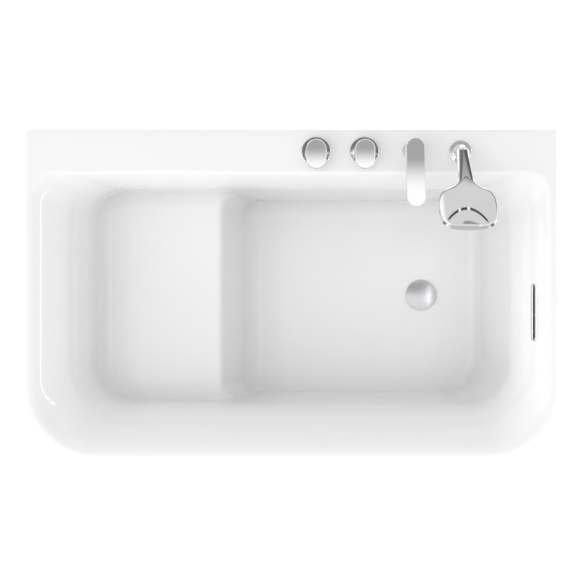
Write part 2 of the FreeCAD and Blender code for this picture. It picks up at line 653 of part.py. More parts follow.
OUTLET_START = "(waste_radius + socket_wall)"
turned("waste_outlet", [
    ("waste_radius - waste_wall", OUTLET_START), ("waste_radius - socket_fit", OUTLET_START),
    ("waste_radius - socket_fit", OUTLET_START + " + socket_length"),
    ("waste_radius", OUTLET_START + " + socket_length"),
    ("waste_radius", "outlet_end_y - drain_y"),
    ("waste_radius - waste_wall", "outlet_end_y - drain_y")], TEE, lean="-90")
ring("overflow_pipe", "overflow_pipe_radius - overflow_pipe_wall", "overflow_pipe_radius",
     "waste_radius + socket_wall", "overflow_box_base - waste_axis_z", TEE)


# ---------------------------------------------------------------- taps

SHANK = "(tap_hole - shank_clearance)"
DECK_NUT = "(%s - tub_height)" % NUT_UNDER
VALVE_BASE = "(%s - tub_height - valve_height)" % NUT_UNDER

for kind, x in (("mixer", MIXER_X), ("diverter", DIVERTER_X)):
    at = (x, "tap_y", "tub_height")
    turned(kind + "_base", [("spindle_radius + clear_gap", "0"), ("knob_radius", "0"),
                            ("knob_radius", "knob_base_height - 2"),
                            ("knob_radius - 2", "knob_base_height"),
                            ("spindle_radius + clear_gap", "knob_base_height")], at)
    valve = turned(kind + "_valve", [
        ("0", VALVE_BASE), ("valve_radius", VALVE_BASE), ("valve_radius", DECK_NUT),
        (SHANK, DECK_NUT), (SHANK, "0"), ("spindle_radius + running_gap", "0"),
        ("spindle_radius + running_gap", "-valve_height"), ("0", "-valve_height")], at)
    ports = sketch_on(valve, "XY_Plane", "ports", VALVE_BASE)
    if kind == "mixer":
        circle(ports, "inlet_radius", "-inlet_spacing / 2", "0")
        circle(ports, "inlet_radius", "inlet_spacing / 2", "0")
    else:
        circle(ports, "inlet_radius")
    pad(valve, ports, "inlet_length", back=True)
    rod(kind + "_spindle", "spindle_radius", "2 - valve_height", "knob_base_height + knob_height / 2", at)
    knob_base = "knob_base_height + clear_gap"
    knob = turned(kind + "_knob", [("0", knob_base), ("knob_hub_radius", knob_base),
                                   ("knob_hub_radius", "%s + knob_hub_height" % knob_base),
                                   ("0", "%s + knob_hub_height" % knob_base)], at)
    stadium_pad(knob, "grip", "knob_width", "knob_length", "-knob_offset", knob_base, "knob_height")
    socket = sketch_on(knob, "XY_Plane", "spindle_socket", knob_base)
    circle(socket, "spindle_radius")
    pocket(knob, socket, "knob_height / 2 - clear_gap", back=True)

LINKS = [(MIXER_X, "valve_radius", DIVERTER_X, "valve_radius"),
         (DIVERTER_X, "valve_radius", SPOUT_X, "spout_shank_radius")]
for number, (start, start_radius, end, end_radius) in enumerate(LINKS, 1):
    start_x = "%s + %s - link_sink" % (start, start_radius)
    link = new_body("link_pipe_%d" % number, (start_x, "tap_y", "tub_height - shank_drop + 2 * link_radius"))
    section = sketch_on(link, "YZ_Plane", "section")
    circle(section, "link_radius")
    circle(section, "link_radius - link_wall")
    pad(link, section, "%s - %s + link_sink - (%s)" % (end, end_radius, start_x))

piece("deck_nuts", Part.makeCompound([
    hexagon_nut(size("2 * deck_nut_radius") * math.cos(math.pi / 6), size(SHANK), size(x),
                size("tap_y"), size(NUT_UNDER), size("deck_nut_height")) for x in TAP_X]))

SPOUT = (SPOUT_X, "tap_y", "tub_height")
ring("spout_base", "spout_bore", "spout_base_radius", "0", "spout_base_height", SPOUT)
turned("spout_shank", [("spout_bore", "-shank_drop"), ("spout_shank_radius", "-shank_drop"),
                       ("spout_shank_radius", DECK_NUT), (SHANK, DECK_NUT), (SHANK, "0"),
                       ("spout_bore", "0")], SPOUT)
COLUMN_BASE = "(spout_base_height + clear_gap)"
spout = turned("spout", [("0", COLUMN_BASE), ("spout_column", COLUMN_BASE),
                         ("spout_column", "spout_top - spout_root"), ("0", "spout_top - spout_root")], SPOUT)
ARM_BACK = "spout_back"
ARM_TIP = "(spout_back - spout_length)"
stadium_pad(spout, "arm", "spout_width", "spout_length", "spout_back - spout_length / 2",
            "spout_top - 2 * spout_root", "2 * spout_root + spout_lift")
top_cut = sketch_on(spout, "YZ_Plane", "top_cut")
polygon(top_cut, [(ARM_TIP, "spout_top + spout_lift"), (ARM_BACK, "spout_top"),
                  (ARM_BACK, "spout_top + 2 * spout_lift"), (ARM_TIP, "spout_top + 2 * spout_lift")])
pocket(spout, top_cut, "2 * spout_width", middle=True)
under_cut = sketch_on(spout, "YZ_Plane", "under_cut")
polygon(under_cut, [(ARM_TIP, "spout_top - 3 * spout_root"), ("-spout_column", "spout_top - 3 * spout_root"),
                    ("-spout_column", "spout_top - spout_root"),
                    (ARM_TIP, "spout_top + spout_lift - spout_tip")])
pocket(spout, under_cut, "2 * spout_width", middle=True)
OUTLET_Y = "(spout_back - spout_length + spout_width / 2)"
AERATOR_TOP = "(spout_top + spout_lift - spout_tip + aerator_height)"
outlet = sketch_on(spout, "XY_Plane", "outlet", AERATOR_TOP)
circle(outlet, "aerator_radius", "0", OUTLET_Y)
pocket(spout, outlet, "spout_top")
supply = sketch_on(spout, "XY_Plane", "supply", COLUMN_BASE)
circle(supply, "spout_bore")
pocket(spout, supply, "spout_top - spout_root", back=True)
ring("aerator", "aerator_radius / 2", "aerator_radius", "-aerator_height", "0",
     (SPOUT_X, "tap_y + " + OUTLET_Y, "tub_height + " + AERATOR_TOP))


def build_shower_holder():
    """One casting: flange and threaded shank, a short post and a socket that leans forwards."""
    x, y, base = size(SHOWER_X), size("tap_y"), size("tub_height")
    shank = upright(SHANK, SHOWER_X, "tap_y", "%s - holder_height" % NUT_UNDER, "tub_height")
    flange = upright("holder_radius", SHOWER_X, "tap_y", "tub_height", "tub_height + holder_height")
    post = upright("holder_post", SHOWER_X, "tap_y", "tub_height", "tub_height + shower_z - holder_bore")
    lean = math.radians(size("shower_lean"))
    axis = Vector(0, -math.sin(lean), math.cos(lean))
    collar = Vector(x, size("shower_y"), base + size("shower_z"))
    depth = size("socket_depth")
    wall = size("socket_wall")
    foot = collar - axis * (depth + wall)
    socket = Part.makeCone(size("cone_radius + socket_wall"), size("socket_radius"), depth + wall, foot, axis)
    seat = Part.makeCone(size("cone_radius + clear_gap"), size("collar_radius + clear_gap"), depth,
                         foot + axis * wall, axis)
    handle_room = Part.makeCylinder(size("handle_top"), size("handle_length"), collar, axis)
    upper = flange.fuse([post, shank])
    way_base = size(NUT_UNDER) - size("holder_height")
    hose_way = Part.makeCylinder(size("holder_bore"), base + size("shower_z") - way_base,
                                 Vector(x, y, way_base))
    casting = upper.fuse(socket).cut([seat, handle_room, hose_way.common(upper)])
    piece("shower_holder", casting.removeSplitter())


build_shower_holder()

HANDSET = (SHOWER_X, "shower_y", "tub_height + shower_z")
turned("hose_nut", [("cone_radius - cone_wall", "-socket_depth"), ("cone_radius", "-socket_depth"),
                    ("collar_radius", "0"), ("collar_radius - cone_wall", "0")], HANDSET, "shower_lean")


def head_outline(sketch, inset):
    """The shower head's outline: shoulders, straight sides and two cut front corners."""
    half = "(head_width / 2 - %s)" % inset
    start = "(head_start + %s)" % inset
    end = "(head_start + head_length - %s)" % inset
    neck = "handle_top"
    polygon(sketch, [("-" + neck, start), (neck, start), (half, start + " + head_corner"),
                     (half, end + " - head_corner"), (half + " - head_corner", end),
                     ("head_corner - " + half, end), ("-" + half, end + " - head_corner"),
                     ("-" + half, start + " + head_corner")])


hand_shower = turned("hand_shower", [("0", "0"), ("collar_radius", "0"),
                                     ("handle_top", "handle_length"), ("0", "handle_length")],
                     HANDSET, "shower_lean")
head = sketch_on(hand_shower, "XZ_Plane", "head")
head_outline(head, "0")
pad(hand_shower, head, "head_thickness", middle=True)
spray_plate = new_body("spray_plate", HANDSET, "shower_lean")
plate = sketch_on(spray_plate, "XZ_Plane", "plate", "head_thickness / 2")
head_outline(plate, "spray_inset")
pad(spray_plate, plate, "spray_thickness")


# ---------------------------------------------------------------- check and write

doc.recompute()
for item in doc.Objects:
    if "Invalid" in item.State or "Error" in item.State:
        raise ValueError("failed: " + item.Name)

parts = [item for item in doc.Objects
         if item.TypeId in ("PartDesign::Body", "Part::Feature") and not item.getParentGeoFeatureGroup()]
for item in parts:
    if item.Shape.isNull() or not item.Shape.isValid() or item.Shape.Volume <= 0:
        raise ValueError("bad shape: " + item.Label)

os.makedirs("parts", exist_ok=True)
for item in parts:
    item.Shape.exportStep("parts/%s.step" % item.Label)
print("%d sub-parts written" % len(parts))
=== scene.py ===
"""Freestanding bathtub with a moulded seat, tap deck and hand shower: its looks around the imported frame."""

import json
import math

import bmesh
import bpy
import numpy as np
from mathutils import Matrix, Vector


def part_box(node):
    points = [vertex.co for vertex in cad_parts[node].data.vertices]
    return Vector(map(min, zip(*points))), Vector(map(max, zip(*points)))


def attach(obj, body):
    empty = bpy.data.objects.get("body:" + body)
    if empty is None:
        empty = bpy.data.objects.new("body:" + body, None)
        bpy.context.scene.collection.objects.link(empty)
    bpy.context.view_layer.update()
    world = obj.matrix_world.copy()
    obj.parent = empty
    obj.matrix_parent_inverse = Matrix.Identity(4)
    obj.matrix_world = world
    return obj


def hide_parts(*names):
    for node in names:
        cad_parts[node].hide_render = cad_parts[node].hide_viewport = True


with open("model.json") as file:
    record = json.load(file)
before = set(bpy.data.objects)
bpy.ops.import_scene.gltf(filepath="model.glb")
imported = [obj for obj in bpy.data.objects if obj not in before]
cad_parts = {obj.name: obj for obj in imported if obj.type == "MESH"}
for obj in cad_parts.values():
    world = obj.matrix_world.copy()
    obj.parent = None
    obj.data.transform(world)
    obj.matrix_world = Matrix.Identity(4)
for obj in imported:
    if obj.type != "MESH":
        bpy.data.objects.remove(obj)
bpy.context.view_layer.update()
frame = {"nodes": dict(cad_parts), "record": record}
MM = 0.001

# ------------------------------------------------------------------ sizes, in millimetres
BASIN_LOW, BASIN_HIGH = (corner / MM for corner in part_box("basin"))
RIM_Z = BASIN_HIGH.z
RIM_WIDTH, DECK_WIDTH, RIM_THICKNESS = 16.0, 97.0, 6.0
FRONT_CORNER, BACK_CORNER = 160.0, 8.0
BASIN_DEPTH, SEAT_DEPTH, FLARE_DEPTH = 490.0, 250.0, 140.0
FLARE = {"left": 105.0, "right": 67.0, "front": 94.0, "back": 27.5}
DRAFT = {"left": 20.0, "right": 18.5, "front": 3.0, "back": 4.5}
BASIN_BACK_CORNER, FRONT_CORNER_LOSS, BACK_CORNER_GAIN = 58.0, 48.0, 14.0
RISER_TOP_X, RISER_RUN = -170.0, 60.0
COVE_RADIUS, SEAT_LIP = 40.0, 14.0
FLOOR_Z, SEAT_Z = RIM_Z - BASIN_DEPTH, RIM_Z - SEAT_DEPTH
DECK_Z = RIM_Z
UP = Vector((0, 0, 1))


def centre(node):
    """The middle of a CAD node's box, in millimetres."""
    low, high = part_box(node)
    return (low + high) / 2 / MM


# ------------------------------------------------------------------ mesh helpers

def finish_mesh(name, vertices, faces, body, replaced, material, sharp=35):
    """Makes an object from millimetre vertices, smooth except across sharp edges, and rides it."""
    mesh = bpy.data.meshes.new(name)
    mesh.from_pydata([tuple(float(c) * MM for c in v) for v in vertices], [], faces)
    bm = bmesh.new()
    bm.from_mesh(mesh)
    bmesh.ops.remove_doubles(bm, verts=bm.verts, dist=1e-6)
    bmesh.ops.recalc_face_normals(bm, faces=bm.faces)
    for face in bm.faces:
        face.smooth = True
    for edge in bm.edges:
        if len(edge.link_faces) == 2 and edge.calc_face_angle(0) > math.radians(sharp):
            edge.smooth = False
    bm.to_mesh(mesh)
    bm.free()
    piece = bpy.data.objects.new(name, mesh)
    bpy.context.scene.collection.objects.link(piece)
    mesh.materials.append(material)
    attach(piece, body)
    if replaced:
        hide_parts(*replaced)
    return piece


def skin_rings(rings, close_start=True, close_end=True):
    """Vertices and quads between closed rings of equal length, with fan caps at the ends."""
    vertices = [tuple(p) for ring in rings for p in ring]
    count = len(rings[0])
    faces = []
    for i in range(len(rings) - 1):
        for j in range(count):
            k = (j + 1) % count
            a, b = i * count, (i + 1) * count
            faces.append((a + j, a + k, b + k, b + j))
    for wanted, index in ((close_start, 0), (close_end, len(rings) - 1)):
        if wanted:
            middle = len(vertices)
            vertices.append(tuple(np.mean(np.array(rings[index]), axis=0)))
            base = index * count
            for j in range(count):
                faces.append((base + j, base + (j + 1) % count, middle))
    return vertices, faces


def join_shells(first, second):
    """One list of vertices and one of faces for two shells that make up a piece."""
    vertices, faces = first
    more_vertices, more_faces = second
    offset = len(vertices)
    return vertices + more_vertices, faces + [tuple(i + offset for i in face) for face in more_faces]


def rounded(points, steps=6):
    """A profile of (radius, height, fillet) corners with each corner turned into an arc."""
    out = []
    for i, (x, y, fillet) in enumerate(points):
        here = Vector((x, y))
        if fillet <= 0 or i in (0, len(points) - 1):
            out.append((x, y))
            continue
        before = Vector(points[i - 1][:2]) - here
        after = Vector(points[i + 1][:2]) - here
        half_turn = before.angle(after) / 2
        cut = min(fillet / math.tan(half_turn), before.length * 0.49, after.length * 0.49)
        radius = cut * math.tan(half_turn)
        middle = here + (before.normalized() + after.normalized()).normalized() * radius / math.sin(half_turn)
        start = here + before.normalized() * cut - middle
        end = here + after.normalized() * cut - middle
        sweep = start.angle_signed(end)
        for step in range(steps + 1):
            angle = -sweep * step / steps
            turned = Matrix.Rotation(angle, 2) @ start
            out.append((middle.x + turned.x, middle.y + turned.y))
    return out


def lathe(profile, at, axis=UP, segments=96):
    """Rings of a profile turned about an axis through a point."""
    turn = UP.rotation_difference(axis).to_matrix()
    rings = []
    for radius, height in profile:
        ring = []
        for j in range(segments):
            angle = 2 * math.pi * j / segments
            local = Vector((radius * math.cos(angle), radius * math.sin(angle), height))
            ring.append(Vector(at) + turn @ local)
        rings.append(ring)
    return rings


def stadium(width, length, steps=20, side_steps=6):
    """A round-ended outline along Y, counterclockwise, starting at the right end of the far arc."""
    half = width / 2
    reach = max(length - width, 0) / 2
    points = []
    for end, start in ((1, 0), (-1, math.pi)):
        for j in range(steps + 1):
            angle = start + math.pi * j / steps
            points.append((half * math.cos(angle), end * reach + half * math.sin(angle)))
        for j in range(1, side_steps):
            points.append((-end * half, end * reach * (1 - 2 * j / side_steps)))
    return points


# ------------------------------------------------------------------ materials

# A relief is this many times finer than the colour variation that it goes with.
RELIEF_FINENESS = 9


def new_material(name, colour, roughness, metallic=0.0, coat=0.0):
    material = bpy.data.materials.new(name)
    material.use_nodes = True
    shader = material.node_tree.nodes["Principled BSDF"]
    shader.inputs["Base Color"].default_value = (*colour, 1)
    shader.inputs["Roughness"].default_value = roughness
    shader.inputs["Metallic"].default_value = metallic
    shader.inputs["Coat Weight"].default_value = coat
    return material, material.node_tree, shader


def noise(tree, scale, detail=4.0, stretch=(1, 1, 1)):
    place = tree.nodes.new("ShaderNodeTexCoord")
    mapping = tree.nodes.new("ShaderNodeMapping")
    mapping.inputs["Scale"].default_value = stretch
    texture = tree.nodes.new("ShaderNodeTexNoise")
    texture.inputs["Scale"].default_value = scale
    texture.inputs["Detail"].default_value = detail
    tree.links.new(place.outputs["Object"], mapping.inputs["Vector"])
    tree.links.new(mapping.outputs["Vector"], texture.inputs["Vector"])
    return texture.outputs["Fac"]


def ramp(tree, factor, low, high):
    """A colour or grey ramp between two values, driven by a texture."""
    node = tree.nodes.new("ShaderNodeValToRGB")
    for element, value in zip(node.color_ramp.elements, (low, high)):
        value = (value,) * 3 if isinstance(value, float) else value
        element.color = (*value, 1)
    node.color_ramp.elements[0].position = 0.35
    node.color_ramp.elements[1].position = 0.65
    tree.links.new(factor, node.inputs["Fac"])
    return node.outputs["Color"]


def bump(tree, shader, height, distance):
    node = tree.nodes.new("ShaderNodeBump")
    node.inputs["Distance"].default_value = distance
    tree.links.new(height, node.inputs["Height"])
    tree.links.new(node.outputs["Normal"], shader.inputs["Normal"])


def mottled(name, low, high, rough_low, rough_high, scale, metallic=0.0, coat=0.0, relief=0.0):
    """A surface whose colour and polish vary a little, with an optional fine relief."""
    material, tree, shader = new_material(name, high, rough_high, metallic, coat)
    factor = noise(tree, scale)
    tree.links.new(ramp(tree, factor, low, high), shader.inputs["Base Color"])
    tree.links.new(ramp(tree, factor, rough_low, rough_high), shader.inputs["Roughness"])
    if relief:
        bump(tree, shader, noise(tree, scale * RELIEF_FINENESS), relief)
    return material


def plywood_material():
    material, tree, shader = new_material("plywood", (0.66, 0.47, 0.28), 0.62)
    grain = noise(tree, 14, 8, (1, 14, 14))
    tree.links.new(ramp(tree, grain, (0.52, 0.35, 0.19), (0.74, 0.56, 0.36)), shader.inputs["Base Color"])
    bump(tree, shader, grain, 0.0004)
    return material


def spray_material():
    """Grey face plate with rows of soft round nozzles."""
    material, tree, shader = new_material("spray_face", (0.42, 0.43, 0.45), 0.4)
    place = tree.nodes.new("ShaderNodeTexCoord")
    cells = tree.nodes.new("ShaderNodeTexVoronoi")
    cells.inputs["Scale"].default_value = 130
    cells.inputs["Randomness"].default_value = 0.0
    tree.links.new(place.outputs["Object"], cells.inputs["Vector"])
    tree.links.new(ramp(tree, cells.outputs["Distance"], (0.2, 0.21, 0.22), (0.5, 0.51, 0.53)),
                   shader.inputs["Base Color"])
    return material


ACRYLIC = mottled("white_acrylic", (0.915, 0.917, 0.92), (0.925, 0.927, 0.929), 0.07, 0.1, 5, coat=0.2)
CHROME = mottled("chrome", (0.88, 0.882, 0.888), (0.9, 0.902, 0.906), 0.02, 0.04, 12, metallic=1.0)
SATIN = mottled("satin_chrome", (0.64, 0.64, 0.655), (0.67, 0.67, 0.685), 0.22, 0.26, 20, metallic=1.0)
STEEL = mottled("zinc_plated_steel", (0.5, 0.51, 0.53), (0.66, 0.67, 0.68), 0.3, 0.48, 22,
                metallic=1.0, relief=0.0002)
RUBBER = mottled("black_rubber", (0.02, 0.02, 0.02), (0.035, 0.035, 0.035), 0.6, 0.75, 90, relief=0.0001)
BLACK = mottled("black_plastic", (0.03, 0.03, 0.032), (0.045, 0.045, 0.048), 0.38, 0.5, 70, relief=0.0001)
PIPE = mottled("pipe_plastic", (0.7, 0.71, 0.72), (0.77, 0.78, 0.79), 0.34, 0.42, 18, relief=0.0001)
BRASS = mottled("brass", (0.6, 0.43, 0.18), (0.72, 0.54, 0.26), 0.2, 0.34, 40, metallic=1.0)
# Painted shade: a flat near-black for the sheet at the end of the overflow slot, standing for the shade deep
# inside it.
SLOT_PAINTED_SHADE = mottled("slot_shadow", (0.02, 0.02, 0.02), (0.04, 0.04, 0.04), 0.5, 0.7, 80)
PLYWOOD = plywood_material()
SPRAY = spray_material()
SLOT_MATERIALS = {"acrylic": ACRYLIC, "chrome": CHROME, "zinc_steel": STEEL, "plywood": PLYWOOD,
                  "rubber": RUBBER, "black_plastic": BLACK, "pipe_plastic": PIPE, "brass": BRASS,
                  "spray_face": SPRAY}
node_slots = {entry["node"]: entry["material_slot"] for entry in frame["record"]["subparts"]}
for node, thing in frame["nodes"].items():
    thing.data.materials.clear()
    thing.data.materials.append(SLOT_MATERIALS[node_slots[node]])


# ------------------------------------------------------------------ basin

def flare(depth):
    """Share of the flare used up at a depth; above the rim it goes on in a straight line."""
    left_over = np.clip(1 - depth / FLARE_DEPTH, 0, None)
    curved = 1 - left_over ** 3
    return np.where(depth < 0, 3 * depth / FLARE_DEPTH, curved)


def wall_in(side, depth):
    return FLARE[side] * flare(depth) + DRAFT[side] * depth / BASIN_DEPTH


def basin_section(depth):
    """Left, right, front and back wall places and the two corner radii at a depth."""
    used = flare(depth)
    return (BASIN_LOW.x + RIM_WIDTH + wall_in("left", depth),
            BASIN_HIGH.x - RIM_WIDTH - wall_in("right", depth),
            BASIN_LOW.y + RIM_WIDTH + wall_in("front", depth),
            BASIN_HIGH.y - DECK_WIDTH - wall_in("back", depth),
            FRONT_CORNER - RIM_WIDTH - FRONT_CORNER_LOSS * used,
            BASIN_BACK_CORNER + BACK_CORNER_GAIN * used)


def round_max(radius, *terms):
    """The largest of the terms, with the corner where two meet rounded to a radius."""
    biggest = np.maximum.reduce(terms)
    outside = np.sqrt(sum(np.maximum(radius + term, 0) ** 2 for term in terms))
    return np.minimum(-radius, biggest) + outside


def outside_wall(x, y, depth):
    """Distance outside the wall's outline at a depth: negative inside the basin."""
    left, right, front, back, front_radius, back_radius = basin_section(depth)
    middle_x, middle_y = (left + right) / 2, (front + back) / 2
    radius = np.where(y < middle_y, front_radius, back_radius)
    qx = np.abs(x - middle_x) - (right - left) / 2 + radius
    qy = np.abs(y - middle_y) - (back - front) / 2 + radius
    return np.minimum(np.maximum(qx, qy), 0) + np.hypot(np.maximum(qx, 0), np.maximum(qy, 0)) - radius


def solidness(x, y, z):
    """Positive inside the tub's material, negative in the open space."""
    lean = RISER_RUN / (BASIN_DEPTH - SEAT_DEPTH)
    riser_x = RISER_TOP_X + lean * (SEAT_Z - z)
    seat_block = round_max(SEAT_LIP, z - SEAT_Z, (x - riser_x) / math.hypot(1, lean))
    return round_max(COVE_RADIUS, outside_wall(x, y, RIM_Z - z), FLOOR_Z - z, -seat_block)


# Halvings that find a height to well under a micrometre.
SEARCH_STEPS = 44


def basin_height(x, y):
    """The height of the basin's surface over a plan point, rounded over at the rim's inner edge."""
    headroom = 60.0
    low = np.full_like(x, FLOOR_Z - COVE_RADIUS)
    high = np.full_like(x, RIM_Z + headroom)
    for _ in range(SEARCH_STEPS):
        middle = (low + high) / 2
        solid = solidness(x, y, middle) > 0
        low = np.where(solid, middle, low)
        high = np.where(solid, high, middle)
    below_rim = RIM_Z - high
    edge = 5.0
    blend = np.clip(edge - np.abs(below_rim), 0, None) / edge
    return RIM_Z - np.maximum(below_rim, 0) - blend ** 2 * edge / 4


LINE_STEPS_Y, ARC_STEPS = 26, 28


def line_shares():
    """Shares along the long sides, closer together where the riser crosses."""
    start, end = -363.0, 402.5
    riser_from, riser_to = -200, -50
    xs = np.concatenate([np.linspace(start, riser_from, 12)[:-1],
                         np.linspace(riser_from, riser_to, 46)[:-1],
                         np.linspace(riser_to, end, 30)])
    return (xs - start) / (end - start)


X_SHARES = line_shares()


def ring_outline(left, right, front, back, front_radius, back_radius):
    """Plan points of a rounded rectangle, counterclockwise from the front line's left end."""
    points = []

    def line(x0, y0, x1, y1, shares):
        for share in shares[:-1]:
            points.append((x0 + (x1 - x0) * share, y0 + (y1 - y0) * share))

    def arc(x, y, radius, start):
        for j in range(ARC_STEPS):
            angle = start + math.pi / 2 * j / ARC_STEPS
            points.append((x + radius * math.cos(angle), y + radius * math.sin(angle)))

    sides = np.linspace(0, 1, LINE_STEPS_Y + 1)
    line(left + front_radius, front, right - front_radius, front, X_SHARES)
    arc(right - front_radius, front + front_radius, front_radius, -math.pi / 2)
    line(right, front + front_radius, right, back - back_radius, sides)
    arc(right - back_radius, back - back_radius, back_radius, 0)
    line(right - back_radius, back, left + back_radius, back, 1 - X_SHARES[::-1])
    arc(left + back_radius, back - back_radius, back_radius, math.pi / 2)
    line(left, back - back_radius, left, front + front_radius, sides)
    arc(left + front_radius, front + front_radius, front_radius, math.pi)
    return np.array(points)


def grown(section, amount):
    """A section's places and radii, moved outwards by an amount."""
    left, right, front, back, front_radius, back_radius = section
    return (left - amount, right + amount, front - amount, back + amount,
            front_radius + amount, back_radius + amount)


def outer_outline(inset):
    return ring_outline(*grown((BASIN_LOW.x, BASIN_HIGH.x, BASIN_LOW.y, BASIN_HIGH.y,
                                FRONT_CORNER, BACK_CORNER), -inset))


def floor_grid(ring):
    """Plan points that fill a ring by blending its four sides, row by row."""
    steps_x = len(X_SHARES) - 1 + ARC_STEPS
    steps_y = LINE_STEPS_Y + ARC_STEPS
    start = -ARC_STEPS // 2
    loop = np.roll(ring, -start, axis=0)
    front = loop[0:steps_x + 1]
    right = loop[steps_x:steps_x + steps_y + 1]
    back = loop[steps_x + steps_y:2 * steps_x + steps_y + 1][::-1]
    left = np.vstack([loop[2 * steps_x + steps_y:], loop[:1]])[::-1]
    u = np.linspace(0, 1, steps_x + 1)[None, :, None]
    v = np.linspace(0, 1, steps_y + 1)[:, None, None]
    across = (1 - v) * front[None] + v * back[None]
    along = (1 - u) * left[:, None] + u * right[:, None]
    corners = ((1 - u) * (1 - v) * front[0] + u * (1 - v) * front[-1]
               + (1 - u) * v * back[0] + u * v * back[-1])
    return across + along - corners


def build_basin():
    """Rim, deck and basin as one skin: rings down the walls, then a grid over the floor and the seat."""
    rounding, rounding_steps = 2.5, 6
    rim_blend = 6.0
    rings = [(outer_outline(0), RIM_Z - RIM_THICKNESS)]
    for j in range(rounding_steps + 1):
        angle = math.pi / 2 * j / rounding_steps
        rings.append((outer_outline(rounding * (1 - math.cos(angle))),
                      RIM_Z - rounding * (1 - math.sin(angle))))
    mouth = basin_section(np.array(0.0))
    outer = outer_outline(rounding)
    edge = ring_outline(*grown(mouth, rim_blend))
    for share in (0.15, 0.35, 0.55, 0.75, 0.9):
        rings.append((outer * (1 - share) + edge * share, RIM_Z))

    def add_ring(section):
        plan = ring_outline(*section)
        rings.append((plan, basin_height(plan[:, 0], plan[:, 1])))

    for out in np.linspace(rim_blend, 0.5, 9):
        add_ring(grown(mouth, out))
    below_flare = FLARE_DEPTH + 15
    depths = list(np.linspace(0, FLARE_DEPTH, 26)) + list(np.linspace(below_flare, BASIN_DEPTH, 20))
    for depth in depths:
        add_ring(basin_section(np.array(depth)))
    foot = basin_section(np.array(BASIN_DEPTH))
    cove_reach, cove_steps = COVE_RADIUS + 4, 14
    for j in range(1, cove_steps + 1):
        inset = cove_reach * (1 - math.cos(math.pi / 2 * j / cove_steps))
        add_ring(grown(foot, -inset))
    solid = [np.column_stack([plan, np.broadcast_to(z, len(plan))]) for plan, z in rings]
    vertices, faces = skin_rings(solid, False, False)
    grid = floor_grid(solid[-1][:, :2])
    rows, columns = grid.shape[:2]
    height = basin_height(grid[..., 0], grid[..., 1])
    first = len(vertices)
    vertices += [(*grid[i, j], height[i, j]) for i in range(rows) for j in range(columns)]
    for i in range(rows - 1):
        for j in range(columns - 1):
            a = first + i * columns + j
            faces.append((a, a + 1, a + columns + 1, a + columns))
    basin = finish_mesh("basin_shell", vertices, faces, "tub", ["basin"], ACRYLIC, sharp=80)
    wall = basin.modifiers.new("wall", "SOLIDIFY")
    hair = 0.1
    wall.thickness = (RIM_THICKNESS - hair) * MM
    wall.offset = -1
    return basin


def cut_hole(piece, name, vertices, faces):
    """Cuts a closed millimetre mesh out of a piece for good."""
    mesh = bpy.data.meshes.new(name)
    mesh.from_pydata([tuple(float(c) * MM for c in v) for v in vertices], [], faces)
    bm = bmesh.new()
    bm.from_mesh(mesh)
    bmesh.ops.recalc_face_normals(bm, faces=bm.faces)
    bm.to_mesh(mesh)
    bm.free()
    cutter = bpy.data.objects.new(name, mesh)
    bpy.context.scene.collection.objects.link(cutter)
    hole = piece.modifiers.new(name, "BOOLEAN")
    hole.object = cutter
    hole.solver = "EXACT"
    bpy.context.view_layer.update()
    evaluated = piece.evaluated_get(bpy.context.evaluated_depsgraph_get())
    result = bpy.data.meshes.new_from_object(evaluated)
    piece.modifiers.clear()
    piece.data = result
    bpy.data.objects.remove(cutter)


def overflow_frame():
    """The overflow's middle on the drain-end wall, and the wall's normal there, into the basin."""
    drop = 25.0
    above, here, below = wall_in("right", np.array([drop - 1, drop, drop + 1]))
    lean = math.atan((below - above) / 2)
    low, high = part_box("overflow_trim")
    middle = Vector((BASIN_HIGH.x - RIM_WIDTH - here, (low.y + high.y) / 2 / MM, RIM_Z - drop))
    return middle, Vector((-math.cos(lean), 0, math.sin(lean)))


def slanted(points, height):
    """Stadium points laid on the leaning wall at a height along its normal."""
    origin, normal = overflow_frame()
    turn = UP.rotation_difference(normal).to_matrix()
    return [origin + turn @ Vector((x, y, height)) for x, y in points]


def build_overflow():
    """The round-ended chrome trim, and the dark end of the slot behind it: a dark sheet with painted shade,
    standing for the shade deep inside the slot.
    """
    length, width, slot, rise = 130.0, 15.5, 5.0, 2.5
    rings = []
    for inset, height in ((0, -2.0), (0, rise - 1.5), (0.5, rise - 0.4), (1.5, rise), (4.0, rise),
                          (4.8, rise - 0.5), ((width - slot) / 2, rise - 1.5), ((width - slot) / 2, -6.0)):
        rings.append(slanted(stadium(width - 2 * inset, length - 2 * inset), height))
    vertices, faces = skin_rings(rings, False, False)
    finish_mesh("overflow_rim", vertices, faces, "tub", ["overflow_trim"], CHROME)
    straight = length - width
    narrow = slot * 0.8
    # Painted shade: a dark sheet a little behind the wall, where the slot would only be in shade.
    vertices, faces = skin_rings([slanted(stadium(slot, straight + slot), -5.5),
                                  slanted(stadium(narrow, straight + narrow), -6.0)])
    finish_mesh("overflow_painted_shade", vertices, faces, "tub", [], SLOT_PAINTED_SHADE)


